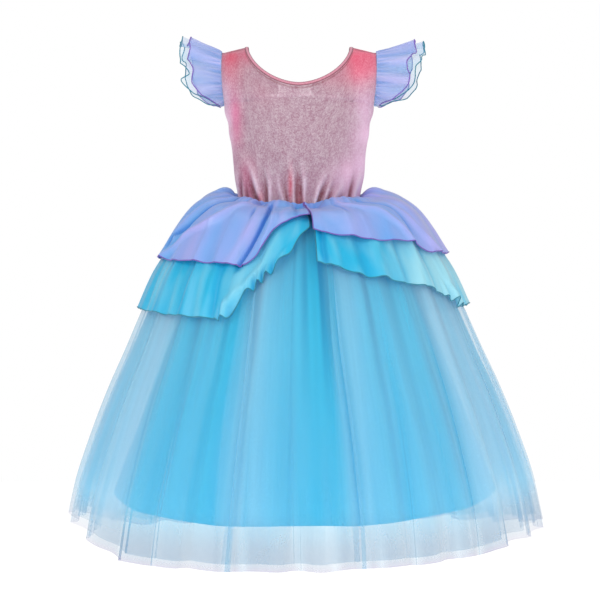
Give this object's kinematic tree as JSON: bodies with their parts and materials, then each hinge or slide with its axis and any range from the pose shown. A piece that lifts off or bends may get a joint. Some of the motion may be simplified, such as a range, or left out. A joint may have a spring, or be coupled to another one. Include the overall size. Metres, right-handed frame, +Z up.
{
  "type": "princess costume dress",
  "caption": "Child's costume dress with a scooped velvet bodice, ruffled cap sleeves, a split two-layer organza peplum and a full tulle skirt over a satin lining.",
  "frame": {"origin": "midway between the two neck points, on the line of the shoulder seams, where the wearer's shoulders hold the dress", "axes": "+Z up along the body; the face shown in the picture, the back of the dress, faces -Y; +X to the right in the picture"},
  "size_m": [0.6313, 0.6069, 0.6736],
  "materials": {
    "velvet": "soft pile with a fine metallic speckle",
    "binding": "the velvet, cut on the bias",
    "label": "plain woven, blank",
    "lilac_organza": "smooth, lustrous, slightly sheer",
    "aqua_organza": "smooth, lustrous, slightly sheer",
    "blue_tulle": "sheer net",
    "pale_tulle": "very sheer net",
    "lining": "satin"
  },
  "bodies": {
    "root": {"bodice_back": "velvet", "bodice_front": "velvet", "neck_binding": "binding", "neck_label": "label", "lining_back": "lining", "lining_front": "lining", "tulle_under_back": "blue_tulle", "tulle_under_front": "blue_tulle", "tulle_over_back": "pale_tulle", "tulle_over_front": "pale_tulle", "peplum_aqua_left": "aqua_organza", "peplum_aqua_right": "aqua_organza", "peplum_lilac_left": "lilac_organza", "peplum_lilac_right": "lilac_organza", "sleeve_lilac_left": "lilac_organza", "sleeve_lilac_right": "lilac_organza", "sleeve_aqua_left": "aqua_organza", "sleeve_aqua_right": "aqua_organza"}
  },
  "joints": []
}
